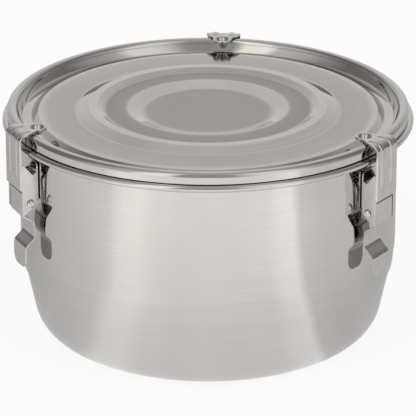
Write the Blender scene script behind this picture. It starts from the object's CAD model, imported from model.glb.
"""Looks of a round clip-lid stainless lunch box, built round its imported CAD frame.

The order follows the box as it is put together: studio, pot, seal, lid, then the three clips.
"""

from math import cos, degrees, pi, radians, sin, tan

import bmesh
import bpy
from mathutils import Matrix, Vector


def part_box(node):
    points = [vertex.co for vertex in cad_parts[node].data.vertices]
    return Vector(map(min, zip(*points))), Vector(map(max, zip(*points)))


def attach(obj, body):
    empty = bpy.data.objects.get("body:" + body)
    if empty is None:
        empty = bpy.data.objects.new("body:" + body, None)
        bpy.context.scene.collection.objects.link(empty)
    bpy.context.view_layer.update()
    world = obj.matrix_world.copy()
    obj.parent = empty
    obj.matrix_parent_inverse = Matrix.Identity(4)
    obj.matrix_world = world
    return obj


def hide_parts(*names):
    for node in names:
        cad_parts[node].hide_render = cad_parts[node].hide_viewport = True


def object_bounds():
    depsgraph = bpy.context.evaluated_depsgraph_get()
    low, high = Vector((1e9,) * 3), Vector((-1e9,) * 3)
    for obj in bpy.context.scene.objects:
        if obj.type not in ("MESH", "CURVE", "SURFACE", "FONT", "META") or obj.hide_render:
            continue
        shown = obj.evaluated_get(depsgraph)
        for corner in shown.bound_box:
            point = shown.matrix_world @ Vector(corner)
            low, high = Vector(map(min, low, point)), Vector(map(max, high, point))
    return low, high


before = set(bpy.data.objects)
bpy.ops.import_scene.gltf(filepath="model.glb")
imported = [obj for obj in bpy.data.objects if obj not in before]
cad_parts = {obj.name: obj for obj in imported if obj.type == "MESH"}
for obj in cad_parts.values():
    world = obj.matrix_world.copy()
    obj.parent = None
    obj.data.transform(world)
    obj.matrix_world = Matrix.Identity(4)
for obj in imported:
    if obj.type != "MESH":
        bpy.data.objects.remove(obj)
cad_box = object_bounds()

# ---------------------------------------------------------------- Studio
# A product table in a small photo studio: a white table top, two tall soft panels in front
# to the left and right, black flags at both sides and a pale wall behind.
# The panels are part of the world, so every view of the object sees the same room.

MM = 0.001
VIEW_TURN = radians(4.6)
VIEW_RISE = radians(20.14)
VIEW_DISTANCE = 1.70
VIEW_AIM = Vector((0, 0, 0.109))
VIEW_PITCH = radians(21.691)
VIEW_LENS = 309.4
TABLE_SIZE = 12.0
TABLE_GAP = 0.2 * MM
LAMP_DISTANCE = 2.2
CEILING = 0.52
CEILING_EDGE = (0.84, 0.985)
NEAR_GLOW = 0.79
GLOW_REACH = (100 * MM, 280 * MM)

# What polished metal sees of the room and of the table top: the direction round the table in
# degrees from the camera, to the right, and the brightness there
ROOM = (
    (-180, 0.78), (-163, 0.70), (-140, 0.48), (-128, 0.22), (-96, 0.20), (-80, 0.34), (-64, 0.58),
    (-45, 0.72), (-39, 1.30), (-24, 1.30), (-17, 0.44), (0, 0.38), (14, 0.42), (24, 0.80), (30, 0.98),
    (50, 1.08), (60, 0.62), (72, 0.46), (86, 0.34), (98, 0.20), (118, 0.26), (134, 0.46), (152, 0.62),
    (180, 0.78),
)
TABLE_TOP = (
    (-180, 0.56), (-150, 0.52), (-112, 0.58), (-84, 0.76), (-64, 0.84), (-54, 0.92), (-45, 1.20),
    (-36, 1.25), (-27, 1.12), (-14, 1.05), (14, 1.03), (30, 1.06), (36, 1.18), (44, 1.23), (49, 0.88),
    (62, 0.80), (80, 0.78), (100, 0.68), (128, 0.60), (158, 0.50), (180, 0.56),
)


def linear(text):
    """A colour written as sRGB hex, as the linear values that shaders take."""
    levels = [int(text[i:i + 2], 16) / 255 for i in (1, 3, 5)]
    return tuple(v / 12.92 if v <= 0.04045 else ((v + 0.055) / 1.055) ** 2.4 for v in levels) + (1.0,)


def node(tree, kind, settings=None, inputs=None):
    """Adds a node with its settings. An input that is another node's socket is linked to it."""
    made = tree.nodes.new("ShaderNode" + kind)
    for name, value in (settings or {}).items():
        setattr(made, name, value)
    for name, value in (inputs or {}).items():
        if isinstance(value, bpy.types.NodeSocket):
            tree.links.new(value, made.inputs[name])
        else:
            made.inputs[name].default_value = value
    return made


def fill_ramp(ramp, stops):
    """Gives a colour ramp its stops (position, grey level or colour)."""
    ramp.elements.remove(ramp.elements[0])
    for number, (place, level) in enumerate(stops):
        stop = ramp.elements[0] if number == 0 else ramp.elements.new(place)
        stop.position = place
        stop.color = level if isinstance(level, tuple) else (level, level, level, 1)


def round_the_table(tree, direction, levels):
    """Brightness read from a list of levels by the direction round the table."""
    split = node(tree, "SeparateXYZ", inputs={0: direction})
    flipped = node(tree, "Math", {"operation": "MULTIPLY"}, {0: split.outputs[1], 1: -1.0})
    angle = node(tree, "Math", {"operation": "ARCTAN2"}, {0: split.outputs[0], 1: flipped.outputs[0]})
    turned = node(tree, "Math", {"operation": "SUBTRACT"}, {0: angle.outputs[0], 1: VIEW_TURN})
    wrapped = node(tree, "Math", {"operation": "WRAP"}, {0: turned.outputs[0], 1: pi, 2: -pi})
    share = node(tree, "MapRange", inputs={0: wrapped.outputs[0], 1: -pi, 2: pi})
    ramp = node(tree, "ValToRGB", inputs={0: share.outputs[0]})
    fill_ramp(ramp.color_ramp, [((angle + 180) / 360, level / 2) for angle, level in levels])
    doubled = node(tree, "Math", {"operation": "MULTIPLY"}, {0: ramp.outputs[0], 1: 2.0})
    return doubled.outputs[0]


def make_camera():
    """A long lens, a little above the lid and a little to the right of the front."""
    data = bpy.data.cameras.new("camera")
    data.lens = VIEW_LENS
    data.sensor_width = 36.0
    data.clip_start = 0.05
    data.clip_end = 40.0
    camera = bpy.data.objects.new("camera", data)
    bpy.context.scene.collection.objects.link(camera)
    level = VIEW_DISTANCE * cos(VIEW_RISE)
    rise = VIEW_DISTANCE * sin(VIEW_RISE)
    camera.location = VIEW_AIM + Vector((level * sin(VIEW_TURN), -level * cos(VIEW_TURN), rise))
    camera.rotation_euler = (pi / 2 - VIEW_PITCH, 0, VIEW_TURN)
    bpy.context.scene.camera = camera


def make_room():
    """The room as metal mirrors it, an even soft light for the rest, and plain white behind."""
    world = bpy.data.worlds.new("room")
    bpy.context.scene.world = world
    world.use_nodes = True
    tree = world.node_tree
    tree.nodes.clear()
    place = node(tree, "TexCoord")
    sides = round_the_table(tree, place.outputs["Generated"], ROOM)
    split = node(tree, "SeparateXYZ", inputs={0: place.outputs["Generated"]})
    ceiling = node(tree, "MapRange", {"interpolation_type": "SMOOTHSTEP"},
                   {0: split.outputs[2], 1: CEILING_EDGE[0], 2: CEILING_EDGE[1]})
    seen = node(tree, "Mix", {"data_type": "FLOAT"}, {0: ceiling.outputs[0], 2: sides, 3: CEILING})
    path = node(tree, "LightPath")
    mirrored = node(tree, "Background", inputs={0: seen.outputs[0], 1: 1.0})
    soft = node(tree, "Background", inputs={0: linear("#D9D9D9"), 1: 0.9})
    white = node(tree, "Background", inputs={0: linear("#FFFFFF"), 1: 1.0})
    lit = node(tree, "MixShader", inputs={0: path.outputs["Is Glossy Ray"], 1: soft.outputs[0],
                                          2: mirrored.outputs[0]})
    shown = node(tree, "MixShader", inputs={0: path.outputs["Is Camera Ray"], 1: lit.outputs[0],
                                            2: white.outputs[0]})
    node(tree, "OutputWorld", inputs={0: shown.outputs[0]})


def table_top_finish():
    """A matt white laminate: no gloss of its own, almost one with the white behind it, and in
    polished metal as bright as the panels make each side of it."""
    made = bpy.data.materials.new("white_table_top")
    made.use_nodes = True
    tree = made.node_tree
    tree.nodes.clear()
    place = node(tree, "TexCoord")
    bright = round_the_table(tree, place.outputs["Object"], TABLE_TOP)
    path = node(tree, "LightPath")
    mat = node(tree, "BsdfDiffuse", inputs={0: linear("#F4F4F4")})
    plain = node(tree, "Emission", inputs={0: linear("#FFFFFF"), 1: 1.0})
    spot = node(tree, "VectorMath", {"operation": "LENGTH"}, {0: place.outputs["Object"]})
    near = node(tree, "MapRange", inputs={0: spot.outputs["Value"], 1: GLOW_REACH[0],
                                          2: GLOW_REACH[1], 3: NEAR_GLOW, 4: 1.0})
    glow = node(tree, "Emission", inputs={0: bright, 1: near.outputs[0]})
    faded = node(tree, "MixShader", inputs={0: 0.90, 1: mat.outputs[0], 2: plain.outputs[0]})
    mirrored = node(tree, "MixShader", inputs={0: path.outputs["Is Glossy Ray"], 1: mat.outputs[0],
                                               2: glow.outputs[0]})
    shown = node(tree, "MixShader", inputs={0: path.outputs["Is Camera Ray"], 1: mirrored.outputs[0],
                                            2: faded.outputs[0]})
    node(tree, "OutputMaterial", inputs={0: shown.outputs[0]})
    return made


def make_table():
    """The table top, a hair under the pot's base."""
    bpy.ops.mesh.primitive_plane_add(size=TABLE_SIZE, location=(0, 0, cad_box[0][2] - TABLE_GAP))
    table = bpy.context.object
    table.name = "table_top"
    table.data.materials.append(table_top_finish())


def make_lamp(name, turn, rise, size, power):
    """A square soft lamp facing the box, which lights matt surfaces only."""
    data = bpy.data.lights.new(name, "AREA")
    data.size = size
    data.energy = power
    lamp = bpy.data.objects.new(name, data)
    bpy.context.scene.collection.objects.link(lamp)
    spot = Vector((cos(rise) * sin(turn), -cos(rise) * cos(turn), sin(rise)))
    lamp.location = spot * LAMP_DISTANCE
    lamp.rotation_euler = spot.to_track_quat("Z", "Y").to_euler()
    lamp.visible_glossy = False
    lamp.visible_camera = False


bpy.context.scene.view_settings.view_transform = "Standard"
make_camera()
make_room()
make_table()
make_lamp("left_panel", turn=VIEW_TURN - radians(32), rise=radians(35), size=1.2, power=14.0)
make_lamp("right_panel", turn=VIEW_TURN + radians(42), rise=radians(35), size=1.2, power=10.0)

# ---------------------------------------------------------------- Pot
# One blank of 0.7 mm 18-8 stainless, deep drawn, its rim rolled outwards into a hollow bead.
# The wall is polished while the pot spins, so hairlines run round it; the foot below the crease
# is as drawn and a little duller.

SHEET = 0.7 * MM
TURNS = 192
WELD = 0.002 * MM
RIM_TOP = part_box("pot_body")[1].z
BEAD_OUTER = 97.6 * MM
BEAD = 1.65 * MM
WALL = 90.0 * MM
WALL_ROOT = 46.0 * MM
WALL_SWEEP = 45.0 * MM
CREASE_TOP = (88.85 * MM, 35.7 * MM)
CREASE_FOOT = (88.0 * MM, 34.5 * MM)
BASE = 80.6 * MM
FOOT_ROUND = 17.0 * MM
# Polishing leaves hairlines about 0.05 mm apart. They are drawn wider, so that they show.
HAIRLINE = 0.5 * MM
HAIRLINE_DEPTH = 0.02 * MM
WANDER = 28.0  # patches per metre, so the finish changes over about 36 mm
SATIN_COLOUR = "#8F8B87"
SATIN_ROUGHNESS = 0.24
SATIN_REACH = 100 * MM


def arc(centre, radius, start, end, steps):
    """Points on an arc round a centre, from start to end in degrees."""
    angles = [radians(start + (end - start) * step / steps) for step in range(steps + 1)]
    return [(centre[0] + radius * cos(a), centre[1] + radius * sin(a)) for a in angles]


def rounded(corners, step=6):
    """The path through corners (x, y, radius), with each inner corner rounded to its radius."""
    path = [corners[0][:2]]
    for before, (x, y, radius), after in zip(corners, corners[1:], corners[2:]):
        corner = Vector((x, y))
        back = (Vector(before[:2]) - corner).normalized()
        ahead = (Vector(after[:2]) - corner).normalized()
        half = back.angle(ahead) / 2
        if radius == 0:
            path.append((x, y))
            continue
        centre = corner + (back + ahead).normalized() * (radius / sin(half))
        start = corner + back * (radius / tan(half)) - centre
        turn = pi - 2 * half
        sense = 1 if back.x * ahead.y - back.y * ahead.x < 0 else -1
        steps = max(2, round(degrees(turn) / step))
        for count in range(steps + 1):
            path.append(tuple(centre + Matrix.Rotation(sense * turn * count / steps, 2) @ start))
    path.append(corners[-1][:2])
    return path


def far_side(path, thickness):
    """The same path moved to its right by the sheet's thickness."""
    moved = []
    for number, point in enumerate(path):
        before = Vector(path[max(number - 1, 0)])
        after = Vector(path[min(number + 1, len(path) - 1)])
        here = Vector(point)
        into = (here - before).normalized() if number else (after - here).normalized()
        out = (after - here).normalized() if number < len(path) - 1 else into
        side = Vector(((into + out).y, -(into + out).x)).normalized()
        stretch = max(0.5, side.dot(Vector((into.y, -into.x))))
        moved.append(tuple(here + side * (thickness / stretch)))
    return moved


def begin(operator, **settings):
    """Adds a primitive with nothing else selected, and returns it."""
    if bpy.context.mode != "OBJECT":
        bpy.ops.object.mode_set(mode="OBJECT")
    bpy.ops.object.select_all(action="DESELECT")
    operator(**settings)
    return bpy.context.object


def draw(name, points):
    """Draws a line by extruding one point from place to place. It stays in edit mode."""
    piece = begin(bpy.ops.mesh.primitive_plane_add, size=MM)
    piece.name = name
    bpy.ops.object.mode_set(mode="EDIT")
    bpy.ops.mesh.select_mode(type="VERT")
    bpy.ops.mesh.select_all(action="SELECT")
    bpy.ops.mesh.merge(type="CENTER")
    here = Vector(points[0])
    bpy.ops.transform.translate(value=here)
    for point in points[1:]:
        step = Vector(point) - here
        bpy.ops.mesh.extrude_region_move(TRANSFORM_OT_translate={"value": step})
        here += step
    bpy.ops.mesh.select_all(action="SELECT")
    bpy.ops.mesh.remove_doubles(threshold=WELD)
    return piece


def spin_round(piece, steps, centre=(0, 0, 0), axis=(0, 0, 1), smooth=32):
    """Spins the drawn line into a closed turned form."""
    bpy.ops.mesh.spin(steps=steps, angle=2 * pi, center=centre, axis=axis)
    bpy.ops.mesh.select_all(action="SELECT")
    bpy.ops.mesh.remove_doubles(threshold=WELD)
    bpy.ops.mesh.normals_make_consistent(inside=False)
    bpy.ops.object.mode_set(mode="OBJECT")
    bpy.ops.object.shade_smooth_by_angle(angle=radians(smooth))
    return piece


def spin_profile(name, path, ring=False):
    """A piece turned about the pot's axis from its profile (radius, height)."""
    points = [(x, 0, z) for x, z in path]
    return spin_round(draw(name, points + (points[:1] if ring else [])), TURNS)


def turned_steel(name, colour, dull, roughness, spread, grain, bump, satin=()):
    """Stainless sheet polished while it turns: hairlines run round the axis, so a highlight
    spreads across them, and the finish wanders a little from place to place. The satin list gives
    bands (radius in millimetres, share of satin) that the wheel left matt, and so look darker."""
    made = bpy.data.materials.new(name)
    made.use_nodes = True
    tree = made.node_tree
    shader = tree.nodes["Principled BSDF"]
    shader.inputs["Metallic"].default_value = 1.0
    shader.inputs["Anisotropic"].default_value = spread
    place = node(tree, "TexCoord").outputs["Object"]
    split = node(tree, "SeparateXYZ", inputs={0: place})
    flat = node(tree, "CombineXYZ", inputs={0: split.outputs[0], 1: split.outputs[1]})
    radius = node(tree, "VectorMath", {"operation": "LENGTH"}, {0: flat.outputs[0]})
    heading = node(tree, "VectorMath", {"operation": "NORMALIZE"}, {0: flat.outputs[0]})
    across = node(tree, "Math", {"operation": "ADD"}, {0: radius.outputs["Value"], 1: split.outputs[2]})
    fine = node(tree, "Math", {"operation": "MULTIPLY"}, {0: across.outputs[0], 1: 1 / grain})
    turn = node(tree, "SeparateXYZ", inputs={0: heading.outputs[0]})
    lines = node(tree, "CombineXYZ", inputs={0: fine.outputs[0], 1: turn.outputs[0],
                                             2: turn.outputs[1]})
    hair = node(tree, "TexNoise", inputs={"Vector": lines.outputs[0], "Scale": 1.0, "Detail": 3.0})
    cloud = node(tree, "TexNoise", inputs={"Vector": place, "Scale": WANDER, "Detail": 2.0})
    mixed = node(tree, "Math", {"operation": "MULTIPLY"}, {0: hair.outputs[0], 1: cloud.outputs[0]})
    tone = node(tree, "MapRange", inputs={0: mixed.outputs[0], 1: 0.1, 2: 0.4})
    colours = node(tree, "Mix", {"data_type": "RGBA"},
                   {0: tone.outputs[0], 6: linear(dull), 7: linear(colour)})
    gloss = node(tree, "MapRange", inputs={0: mixed.outputs[0], 1: 0.1, 2: 0.4,
                                           3: roughness * 1.25, 4: roughness * 0.8})
    tint, shine = colours.outputs[2], gloss.outputs[0]
    if satin:
        share = node(tree, "MapRange", inputs={0: radius.outputs["Value"], 1: 0.0, 2: SATIN_REACH})
        bands = node(tree, "ValToRGB", inputs={0: share.outputs[0]})
        fill_ramp(bands.color_ramp, [(away * MM / SATIN_REACH, level) for away, level in satin])
        matt = node(tree, "Mix", {"data_type": "RGBA"},
                    {0: bands.outputs[0], 6: tint, 7: linear(SATIN_COLOUR)})
        rough = node(tree, "Mix", {"data_type": "FLOAT"},
                     {0: bands.outputs[0], 2: shine, 3: SATIN_ROUGHNESS})
        tint, shine = matt.outputs[2], rough.outputs[0]
    tree.links.new(tint, shader.inputs["Base Color"])
    tree.links.new(shine, shader.inputs["Roughness"])
    grooves = node(tree, "Bump", inputs={"Height": hair.outputs[0], "Strength": bump,
                                         "Distance": HAIRLINE_DEPTH})
    tree.links.new(grooves.outputs[0], shader.inputs["Normal"])
    wheel = node(tree, "Tangent", {"direction_type": "RADIAL", "axis": "Z"})
    tree.links.new(wheel.outputs[0], shader.inputs["Tangent"])
    return made


def dress(piece, material, node_name, body):
    """Gives a finished piece its finish, its body and the frame node that it stands for."""
    piece.data.materials.clear()
    piece.data.materials.append(material)
    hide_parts(node_name)
    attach(piece, body)


bead_centre = (BEAD_OUTER - BEAD, RIM_TOP - BEAD)
rolled = arc(bead_centre, BEAD - SHEET, 180, 450, 27)
pot_skin = rolled + rounded([
    (*rolled[-1], 0),
    (WALL, RIM_TOP - SHEET, 0.9 * MM),
    (WALL, WALL_ROOT, WALL_SWEEP),
    (*CREASE_TOP, 0.5 * MM),
    (*CREASE_FOOT, 0.7 * MM),
    (BASE, 0, FOOT_ROUND),
    (0, 0, 0),
], 4)[1:]
pot_inner = far_side(pot_skin, SHEET)
pot = spin_profile("pot_skin", pot_skin + [(0, SHEET)] + pot_inner[-2::-1])
# 18-8 stainless polished on a wheel: soft upright bands of light, crossed by hairlines
pot_steel = turned_steel("spun_polished_18_8_stainless", "#D3D0CD", "#CCC9C5", roughness=0.05,
                         spread=0.4, grain=HAIRLINE, bump=0.1)
dress(pot, pot_steel, "pot_body", "container")

# ---------------------------------------------------------------- Seal
# A ring of clear-white silicone pressed into the lid's rim channel. It sits on the pot's flange
# and is soft, so its corners are full and its surface has a faint bloom.

SEAL_LOW, SEAL_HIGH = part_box("lid_gasket")
SEAL_INNER = 91.35 * MM
SEAL_MIDDLE = SEAL_INNER + 1.2 * MM
SEAL_ROUND = 0.9 * MM
BLOOM = 160.0  # patches per metre, about 6 mm each


def silicone():
    """Moulded silicone: milky, light passes a little way in, and a dry bloom breaks its shine."""
    made = bpy.data.materials.new("translucent_silicone")
    made.use_nodes = True
    tree = made.node_tree
    shader = tree.nodes["Principled BSDF"]
    shader.inputs["Subsurface Weight"].default_value = 0.25
    shader.inputs["Subsurface Radius"].default_value = (0.002, 0.002, 0.0018)
    shader.inputs["IOR"].default_value = 1.41
    place = node(tree, "TexCoord").outputs["Object"]
    bloom = node(tree, "TexNoise", inputs={"Vector": place, "Scale": BLOOM, "Detail": 3.0})
    colours = node(tree, "Mix", {"data_type": "RGBA"},
                   {0: bloom.outputs[0], 6: linear("#D6D4CE"), 7: linear("#E9E8E3")})
    tree.links.new(colours.outputs[2], shader.inputs["Base Color"])
    gloss = node(tree, "MapRange", inputs={0: bloom.outputs[0], 3: 0.42, 4: 0.58})
    tree.links.new(gloss.outputs[0], shader.inputs["Roughness"])
    return made


seal_path = rounded([
    (SEAL_MIDDLE, SEAL_HIGH.z, 0),
    (SEAL_HIGH.x, SEAL_HIGH.z, SEAL_ROUND),
    (SEAL_HIGH.x, SEAL_LOW.z, SEAL_ROUND),
    (SEAL_INNER, SEAL_LOW.z, SEAL_ROUND),
    (SEAL_INNER, SEAL_HIGH.z, SEAL_ROUND),
    (SEAL_MIDDLE, SEAL_HIGH.z, 0),
], 15)[:-1]
seal = spin_profile("silicone_seal", seal_path, ring=True)
dress(seal, silicone(), "lid_gasket", "container")

# ---------------------------------------------------------------- Lid
# A pressed pan of the same sheet. Its floor drops into the pot's mouth, stiffening rings stand up
# from it, and its edge folds over the seal. The flats keep the satin of the polishing wheel and
# the pressed rings are burnished bright. The middle is left bare.

LID_FLOOR = RIM_TOP - 0.35 * MM
DISC = LID_FLOOR + 1.5 * MM
STEP = LID_FLOOR + 3.3 * MM
RING = LID_FLOOR + 4.8 * MM
APRON = LID_FLOOR + 2.2 * MM
CREST = 2.5 * MM
CREST_CENTRE = (92.85 * MM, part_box("lid_pan")[1].z - CREST)
SKIRT_FOOT = 108.72 * MM

crest = arc(CREST_CENTRE, CREST, 180, 0, 36)
lid_top = rounded([
    (0, DISC, 0),
    (31.8 * MM, DISC, 1.0 * MM),
    (37.6 * MM, STEP, 1.0 * MM),
    (49.6 * MM, STEP, 0.8 * MM),
    (52.6 * MM, RING, 1.1 * MM),
    (56.6 * MM, RING, 1.1 * MM),
    (62.4 * MM, APRON + 0.2 * MM, 0.8 * MM),
    (80.6 * MM, APRON, 1.2 * MM),
    (83.8 * MM, LID_FLOOR, 1.2 * MM),
    (WALL - 1.8 * MM, LID_FLOOR, 0.8 * MM),
    (*crest[0], 0),
], 3)[:-1] + crest + [(CREST_CENTRE[0] + CREST, SKIRT_FOOT)]
lid_under = far_side(lid_top, SHEET)
lid = spin_profile("lid_pan_skin", lid_top + lid_under[::-1])
# 18-8 stainless pressed and then polished: mirror-bright slopes, and darker soft satin on the flats
satin_flats = [
    (0, 0.75), (28.5, 0.75), (32.5, 0), (37.5, 0), (39.6, 0.85), (48.0, 0.95), (50.4, 0),
    (61.8, 0), (64.0, 0.5), (76.5, 0.4), (79.5, 0),
]
lid_steel = turned_steel("pressed_polished_18_8_stainless", "#D2CFCB", "#C6C2BD", roughness=0.04,
                         spread=0.4, grain=HAIRLINE, bump=0.12, satin=satin_flats)
dress(lid, lid_steel, "lid_pan", "container")

# ---------------------------------------------------------------- Wall brackets
# A small U of 0.8 mm sheet, spot-welded to the wall behind each latch. Its two ears carry the pin.
# One is modelled at the latch's own place, outward along X, and copied round the pot.

CLIP_TURNS = {"rear": radians(90), "left": radians(210), "right": radians(330)}
PIVOT = Vector((94.0 * MM, 0, 90.0 * MM))
CRANK = Vector((95.1 * MM, 0, 80.8 * MM))
BRACKET_BACK = 90.3 * MM
BRACKET_HALF = 5.65 * MM
PAD_RISE = 9.5 * MM
PAD_ROUND = 2.0 * MM
CHEEK_RISE = 5.0 * MM
CHEEK_ROUND = 2.7 * MM
CLIP_SHEET = 0.8 * MM
PIN_BORE = 1.35 * MM
CUT_REACH = 9.0 * MM
INSET = 0.01 * MM  # keeps a joined plate off the faces beside it, for a clean union
EDGE_BREAK = 0.14 * MM
# Tumbling leaves pits of about 0.1 mm. They are drawn wider, so that they show.
PITS = 0.3 * MM
PIT_DEPTH = 0.02 * MM
HANDLED = 190.0  # patches per metre, about 5 mm each


def modify(piece, kind, **settings):
    """Adds a modifier with its settings and applies it."""
    made = piece.modifiers.new(kind.lower(), kind)
    for name, value in settings.items():
        setattr(made, name, value)
    bpy.ops.object.select_all(action="DESELECT")
    piece.select_set(True)
    bpy.context.view_layer.objects.active = piece
    bpy.ops.object.modifier_apply(modifier=made.name)


def select_faces(piece, test):
    """Selects the faces whose middle and normal pass the test."""
    bpy.ops.mesh.select_mode(type="FACE")
    bpy.ops.mesh.select_all(action="DESELECT")
    mesh = bmesh.from_edit_mesh(piece.data)
    for face in mesh.faces:
        if test(face.calc_center_median(), face.normal):
            face.select_set(True)
    bmesh.update_edit_mesh(piece.data)


def prism(name, outline, push):
    """A flat outline filled and pushed out into a plate."""
    piece = draw(name, outline + outline[:1])
    bpy.ops.mesh.edge_face_add()
    bpy.ops.mesh.extrude_region_move(TRANSFORM_OT_translate={"value": push})
    bpy.ops.mesh.select_all(action="SELECT")
    bpy.ops.mesh.normals_make_consistent(inside=False)
    bpy.ops.object.mode_set(mode="OBJECT")
    return piece


def bar(name, radius, reach, at):
    """A round bar across the latch, centred on a point: a drill, or the start of a pin."""
    piece = begin(bpy.ops.mesh.primitive_cylinder_add, vertices=48, radius=radius,
                  depth=2 * reach, location=at, rotation=(pi / 2, 0, 0))
    piece.name = name
    return piece


def combine(piece, operation, other):
    """Joins, cuts or keeps in common one shape with another, which is then removed."""
    modify(piece, "BOOLEAN", operation=operation, solver="EXACT", object=other)
    bpy.data.objects.remove(other)


def turned_at(name, profile, centre):
    """A round form about an upright axis through a point, from its profile in millimetres."""
    points = [centre + Vector((x * MM, 0, z * MM)) for x, z in profile]
    return spin_round(draw(name, points), 40, centre)


def break_edges(piece, width=EDGE_BREAK, segments=2, angle=32):
    """Rounds the sharp edges a little, as tumbling does."""
    bpy.ops.object.select_all(action="DESELECT")
    piece.select_set(True)
    bpy.context.view_layer.objects.active = piece
    bpy.ops.object.mode_set(mode="EDIT")
    bpy.ops.mesh.select_all(action="SELECT")
    bpy.ops.mesh.remove_doubles(threshold=10 * WELD)
    bpy.ops.mesh.normals_make_consistent(inside=False)
    bpy.ops.object.mode_set(mode="OBJECT")
    modify(piece, "BEVEL", width=width, segments=segments, limit_method="ANGLE",
           angle_limit=radians(angle), use_clamp_overlap=False, miter_outer="MITER_ARC")
    bpy.ops.object.shade_smooth_by_angle(angle=radians(40))
    modify(piece, "WEIGHTED_NORMAL", keep_sharp=True, weight=100)


def stamped_steel(name, colour, dull, roughness, grain, bump):
    """Stamped stainless sheet, tumbled and buffed: an even soft shine with fine pits and no grain
    direction, duller in patches where it has been handled."""
    made = bpy.data.materials.new(name)
    made.use_nodes = True
    tree = made.node_tree
    shader = tree.nodes["Principled BSDF"]
    shader.inputs["Metallic"].default_value = 1.0
    place = node(tree, "TexCoord").outputs["Object"]
    fine = node(tree, "TexNoise", inputs={"Vector": place, "Scale": 1 / grain, "Detail": 4.0})
    patch = node(tree, "TexNoise", inputs={"Vector": place, "Scale": HANDLED, "Detail": 3.0})
    tone = node(tree, "MapRange", inputs={0: patch.outputs[0], 1: 0.3, 2: 0.7})
    colours = node(tree, "Mix", {"data_type": "RGBA"},
                   {0: tone.outputs[0], 6: linear(dull), 7: linear(colour)})
    tree.links.new(colours.outputs[2], shader.inputs["Base Color"])
    gloss = node(tree, "MapRange", inputs={0: patch.outputs[0], 1: 0.3, 2: 0.7,
                                           3: roughness * 1.3, 4: roughness * 0.8})
    tree.links.new(gloss.outputs[0], shader.inputs["Roughness"])
    pits = node(tree, "Bump", inputs={"Height": fine.outputs[0], "Strength": bump,
                                      "Distance": PIT_DEPTH})
    tree.links.new(pits.outputs[0], shader.inputs["Normal"])
    return made


def fit_round(piece, material, suffix, body=None):
    """Copies a finished latch piece to each of the three latches and removes the pattern."""
    for side, turn in CLIP_TURNS.items():
        mesh = piece.data.copy()
        mesh.transform(Matrix.Rotation(turn, 4, "Z"))
        fitted = bpy.data.objects.new(side + "_" + piece.name, mesh)
        bpy.context.scene.collection.objects.link(fitted)
        dress(fitted, material, side + "_" + suffix, "container" if body is None else side + body)
    bpy.data.objects.remove(piece)


# 18-8 stainless stamped and tumbled: a clear shine with soft edges and no grain
clip_steel = stamped_steel("tumbled_18_8_stainless_stamping", "#D2CFCC", "#C9C6C2", roughness=0.09,
                           grain=PITS, bump=0.2)
pad = rounded([
    (0, -PAD_RISE, 0), (BRACKET_HALF, -PAD_RISE, PAD_ROUND), (BRACKET_HALF, PAD_RISE, PAD_ROUND),
    (-BRACKET_HALF, PAD_RISE, PAD_ROUND), (-BRACKET_HALF, -PAD_RISE, PAD_ROUND), (0, -PAD_RISE, 0),
], 15)[:-1]
bracket = prism("welded_bracket", [(BRACKET_BACK, y, PIVOT.z + z) for y, z in pad], (CLIP_SHEET, 0, 0))
root = BRACKET_BACK + 0.3 * MM
cheek = [(root, PIVOT.z + CHEEK_RISE), (root, PIVOT.z - CHEEK_RISE)]
cheek += arc((PIVOT.x, PIVOT.z), CHEEK_ROUND, -60, 60, 12)
for foot in (BRACKET_HALF - CLIP_SHEET, -BRACKET_HALF + INSET):
    combine(bracket, "UNION", prism("cheek", [(x, foot, z) for x, z in cheek],
                                    (0, CLIP_SHEET - INSET, 0)))
combine(bracket, "DIFFERENCE", bar("bore", PIN_BORE, CUT_REACH, PIVOT))
break_edges(bracket)
fit_round(bracket, clip_steel, "bracket")

# ---------------------------------------------------------------- Bracket pins
# A bright drawn stainless pin, its ends rounded over, through the bracket's ears and the lever's
# flanges.

PIN_RADIUS = 1.25 * MM
PIN_REACH = 6.9 * MM
PIN_ROUND = 0.3 * MM

# Stainless drawn through a die: brighter and smoother than the stampings round it
pin_steel = stamped_steel("bright_drawn_stainless_pin", "#DAD8D5", "#D2CFCB", roughness=0.11,
                          grain=0.2 * MM, bump=0.15)
pin = bar("hinge_pin", PIN_RADIUS, PIN_REACH, PIVOT)
bpy.ops.object.transform_apply(location=True, rotation=True, scale=True)
bpy.ops.object.mode_set(mode="EDIT")
select_faces(pin, lambda middle, normal: abs(normal.y) > 0.9)
bpy.ops.mesh.bevel(offset=PIN_ROUND, segments=3)
bpy.ops.object.mode_set(mode="OBJECT")
bpy.ops.object.shade_smooth_by_angle(angle=radians(40))
fit_round(pin, pin_steel, "bracket_pin")

# ---------------------------------------------------------------- Pull levers
# A stamped lever of 0.8 mm sheet: two flanges fold back from its web to the pin and the rivets,
# then the sheet steps in towards the wall and curls out again into the finger tab.

LEVER_HALF = 6.95 * MM
LEVER_FACE = 98.8 * MM
LEVER_TOP = 85.9 * MM
LEVER_BEND = 2.0 * MM
NECK_TOP = (93.3 * MM, 70.85 * MM)
NECK_FOOT = (92.4 * MM, 62.95 * MM)
TAB_FACE = 97.6 * MM
TAB_TOP = 58.35 * MM
TAB_FOOT = 47.7 * MM
TAB_CURL = 4.0 * MM
TAB_CORNER = 4.5 * MM
RIVET_BORE = 1.3 * MM


def sheet_strip(name, path, half):
    """A strip of sheet drawn along the path of its outer face and widened to both sides."""
    piece = draw(name, [(x, -half, z) for x, z in path])
    bpy.ops.mesh.extrude_region_move(TRANSFORM_OT_translate={"value": (0, 2 * half, 0)})
    bpy.ops.mesh.select_all(action="SELECT")
    bpy.ops.mesh.normals_make_consistent(inside=False)
    return piece


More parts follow.
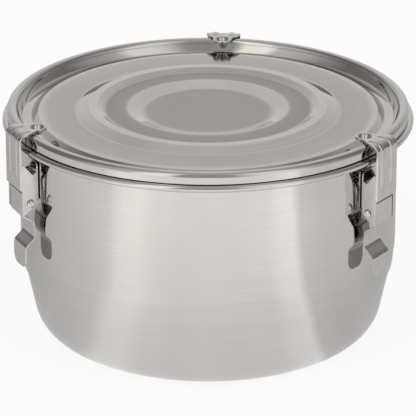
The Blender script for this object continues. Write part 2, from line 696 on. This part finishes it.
lever_path = rounded([
    (LEVER_FACE, LEVER_TOP, 0),
    (LEVER_FACE, 74.45 * MM, LEVER_BEND),
    (*NECK_TOP, LEVER_BEND),
    (*NECK_FOOT, TAB_CURL),
    (TAB_FACE, TAB_TOP, TAB_CURL),
    (TAB_FACE, TAB_FOOT - 1 * MM, 0),
], 6)
lever = sheet_strip("pull_lever", lever_path, LEVER_HALF * 1.5)
bpy.ops.object.mode_set(mode="OBJECT")
modify(lever, "SOLIDIFY", thickness=CLIP_SHEET, offset=0, use_even_offset=True)
flange = [(LEVER_FACE, 90.45 * MM)] + arc((PIVOT.x, PIVOT.z), 2.8 * MM, 60, 180, 16)
flange += [(91.8 * MM, CRANK.z + 1.6 * MM)]
flange += arc((93.0 * MM, CRANK.z - 0.2 * MM), 1.2 * MM, 180, 250, 5)
flange += [(CRANK.x, CRANK.z - 2.8 * MM), (LEVER_FACE, 76.45 * MM)]
for foot in (LEVER_HALF - CLIP_SHEET, -LEVER_HALF - CLIP_SHEET):
    combine(lever, "UNION", prism("flange", [(x, foot, z) for x, z in flange], (0, 2 * CLIP_SHEET, 0)))
# Its outline seen from the front, with the tab's round corners, trims strip and flanges together
front = [(LEVER_HALF, 96 * MM), (-LEVER_HALF, 96 * MM)]
front += arc((TAB_CORNER - LEVER_HALF, TAB_FOOT + TAB_CORNER), TAB_CORNER, 180, 270, 12)
front += arc((LEVER_HALF - TAB_CORNER, TAB_FOOT + TAB_CORNER), TAB_CORNER, 270, 360, 12)
combine(lever, "INTERSECT", prism("outline", [(WALL, y, z) for y, z in front], (12 * MM, 0, 0)))
combine(lever, "DIFFERENCE", bar("bore", PIN_BORE, CUT_REACH, PIVOT))
combine(lever, "DIFFERENCE", bar("bore", RIVET_BORE, CUT_REACH, CRANK))
break_edges(lever)
fit_round(lever, clip_steel, "lever", "_lever")

# ---------------------------------------------------------------- Hooks
# A stamped hook of 1 mm sheet: two ears fold back to the rivets, two ridges are pressed along the
# face and over the bend, and its tongue has a round dish that bears on the lid's inner slope.

HOOK_SHEET = 1.0 * MM
HOOK_HALF = 8.25 * MM
HOOK_FACE = 100.5 * MM
HOOK_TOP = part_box("rear_hook")[1].z - 0.5 * MM
HOOK_FOOT = 87.7 * MM
HOOK_BEND = 4.3 * MM
TONGUE_END = 83.35 * MM
TONGUE_ROUND = 4.6 * MM
SHOULDER = 95.5 * MM
DISH = Vector((87.95 * MM, 0, HOOK_TOP))
RIDGE = 4.0 * MM
RIDGE_HALF = 1.7 * MM
RIDGE_START = (92.9 * MM, 94.0 * MM)
RIDGE_STEPS = ((0.2 * MM, 0.05 * MM), (0.3 * MM, 0.28 * MM), (0.5 * MM, 0.14 * MM))
EAR_SET = 0.004 * MM

hook_path = [(HOOK_FACE, HOOK_FOOT), (HOOK_FACE, 93.95 * MM)] + rounded([
    (HOOK_FACE, 96.0 * MM, 0), (HOOK_FACE, HOOK_TOP, HOOK_BEND), (92.85 * MM, HOOK_TOP, 0),
], 6) + [(TONGUE_END, HOOK_TOP)]
hook = sheet_strip("latch_hook", hook_path, HOOK_HALF)
for edge in (-RIDGE - RIDGE_HALF, -RIDGE + RIDGE_HALF, RIDGE - RIDGE_HALF, RIDGE + RIDGE_HALF):
    bpy.ops.mesh.select_all(action="SELECT")
    bpy.ops.mesh.bisect(plane_co=(0, edge, 0), plane_no=(0, 1, 0))
for side in (-RIDGE, RIDGE):
    select_faces(hook, lambda middle, normal: (
        abs(middle.y - side) < RIDGE_HALF and middle.x > RIDGE_START[0] and middle.z > RIDGE_START[1]))
    for width, rise in RIDGE_STEPS:
        bpy.ops.mesh.inset(thickness=width, depth=rise)
bpy.ops.object.mode_set(mode="OBJECT")
modify(hook, "SOLIDIFY", thickness=HOOK_SHEET, offset=-1, use_even_offset=True)
# The outline seen from above narrows from the shoulders to the round end of the tongue
clear = HOOK_HALF * 1.1
inside = HOOK_HALF * 0.999
plan = [(HOOK_FACE + 2 * MM, clear), (SHOULDER, clear), (SHOULDER, inside)]
plan += arc((DISH.x, 0), TONGUE_ROUND, 72, 288, 36)
plan += [(SHOULDER, -inside), (SHOULDER, -clear), (HOOK_FACE + 2 * MM, -clear)]
combine(hook, "INTERSECT", prism("plan", [(x, y, HOOK_FOOT - MM) for x, y in plan], (0, 0, 32 * MM)))
face = HOOK_FACE - HOOK_SHEET / 2
back = HOOK_FACE - HOOK_SHEET
ear = rounded([
    (face, 88.5 * MM, 0), (face, 100.25 * MM, 0), (98.5 * MM, 100.25 * MM, 1.0 * MM),
    (93.3 * MM, 94.05 * MM, 3.0 * MM), (92.3 * MM, CRANK.z, 1.5 * MM), (93.3 * MM, 78.8 * MM, 1.5 * MM),
    (98.5 * MM, 75.15 * MM, 1.2 * MM), (back, 75.45 * MM, 0.25 * MM), (back, 88.5 * MM, 0),
], 12)
for foot in (HOOK_HALF - HOOK_SHEET, -HOOK_HALF + EAR_SET):
    combine(hook, "UNION", prism("ear", [(x, foot, z) for x, z in ear], (0, HOOK_SHEET - EAR_SET, 0)))
# Profiles (radius, height) in millimetres: the dish from below, and the punch that hollows it
under = [(0, -0.5), (3.9, -0.5), (3.6, -0.95), (3.0, -1.6), (2.4, -2.6), (1.85, -3.5), (1.3, -3.85),
         (0, -3.9)]
punch = [(0, 1.0), (4.1, 1.0), (3.9, 0.12), (3.45, -0.18), (3.0, -0.55), (2.5, -1.2), (1.9, -2.15),
         (1.4, -2.7), (0.8, -2.95), (0, -3.0)]
combine(hook, "UNION", turned_at("dish", under, DISH))
combine(hook, "DIFFERENCE", bar("bore", RIVET_BORE, 12 * MM, CRANK))
combine(hook, "DIFFERENCE", turned_at("punch", punch, DISH))
break_edges(hook)
fit_round(hook, clip_steel, "hook", "_hook")

# ---------------------------------------------------------------- Rivets
# Two stainless rivets join hook and lever at each latch. Each head is domed, with a thin rim and
# the small dimple of the setting punch.

RIVET_OUT = HOOK_HALF + 0.3 * MM

# Half of a rivet in section (radius, distance out from under the head) in millimetres
head = [
    (0, 0.72), (0.35, 0.74), (0.62, 0.86), (0.95, 0.83), (1.3, 0.66), (1.62, 0.42), (1.9, 0.3),
    (1.98, 0.18), (2.0, 0.06), (1.95, 0), (1.1, 0), (1.1, -2.2), (0.95, -2.4), (0, -2.4),
]
for name, side in (("rivet_a", 1), ("rivet_b", -1)):
    profile = [CRANK + Vector((x * MM, side * (RIVET_OUT + z * MM), 0)) for x, z in head]
    rivet = spin_round(draw("hook_" + name, profile), 40, CRANK, (0, 1, 0), 40)
    fit_round(rivet, pin_steel, name, "_hook")
